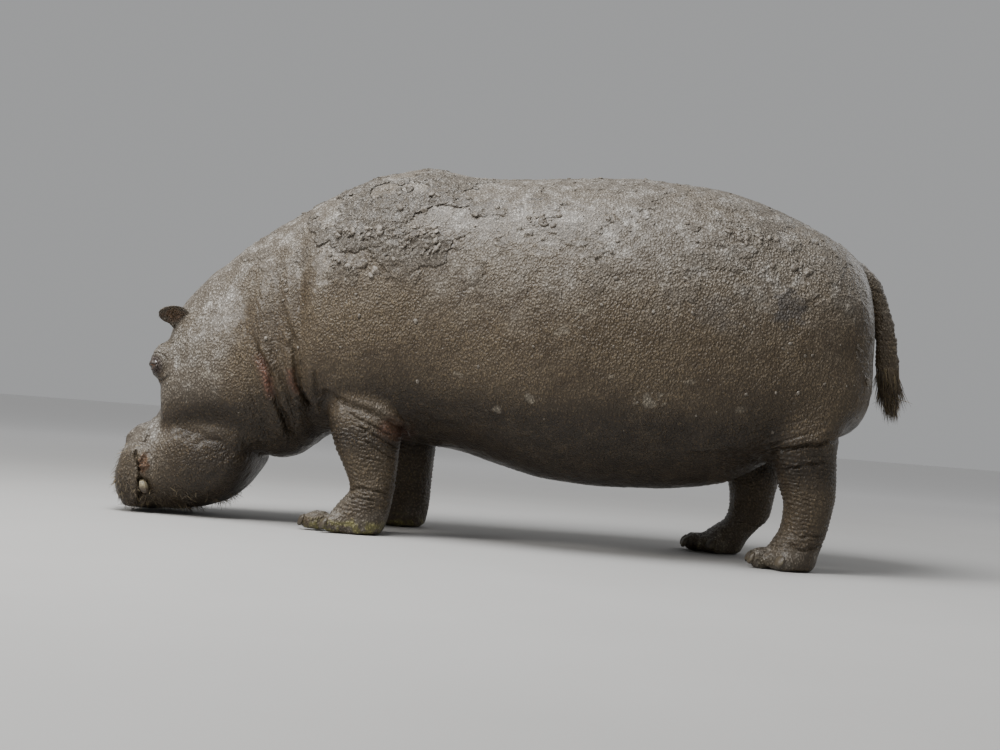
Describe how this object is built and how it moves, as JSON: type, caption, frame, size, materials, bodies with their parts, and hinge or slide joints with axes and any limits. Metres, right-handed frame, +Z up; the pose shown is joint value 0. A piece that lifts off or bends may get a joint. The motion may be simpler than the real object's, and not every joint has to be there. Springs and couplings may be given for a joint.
{
  "type": "hippopotamus",
  "caption": "Adult hippopotamus standing with its heavy head lowered to the ground, a still life-size museum-style model on flat soles.",
  "frame": {"origin": "on the floor under the middle of the animal's bounding box", "axes": "-X is where the nose points, -Y is the animal's left side, +Z is up"},
  "size_m": [3.0064, 1.044, 1.4195],
  "materials": {
    "hide": "thick grey-brown hide, fine cross wrinkles, coated with wet mud",
    "ear_skin": "thin pinkish brown skin with a sparse fringe of bristles",
    "eye": "wet and glossy, dark brown",
    "tusk": "stained ivory, satin",
    "nail": "horn, scuffed and muddy",
    "bristle": "stiff dark hair clotted with mud"
  },
  "bodies": {
    "root": {"fore_foot_left": "hide", "fore_leg_left": "hide", "fore_foot_right": "hide", "fore_leg_right": "hide", "hind_foot_left": "hide", "hind_leg_left": "hide", "hind_foot_right": "hide", "hind_leg_right": "hide", "head": "hide", "lower_jaw": "hide", "neck": "hide", "shoulders": "hide", "barrel": "hide", "rump": "hide", "tail": "hide", "tail_tuft": "bristle", "ear_left": "ear_skin", "eye_left": "eye", "canine_left": "tusk", "ear_right": "ear_skin", "eye_right": "eye", "canine_right": "tusk", "nail_fore_left_1": "nail", "nail_fore_left_2": "nail", "nail_fore_left_3": "nail", "nail_fore_left_4": "nail", "nail_fore_right_1": "nail", "nail_fore_right_2": "nail", "nail_fore_right_3": "nail", "nail_fore_right_4": "nail", "nail_hind_left_1": "nail", "nail_hind_left_2": "nail", "nail_hind_left_3": "nail", "nail_hind_left_4": "nail", "nail_hind_right_1": "nail", "nail_hind_right_2": "nail", "nail_hind_right_3": "nail", "nail_hind_right_4": "nail"}
  },
  "joints": []
}
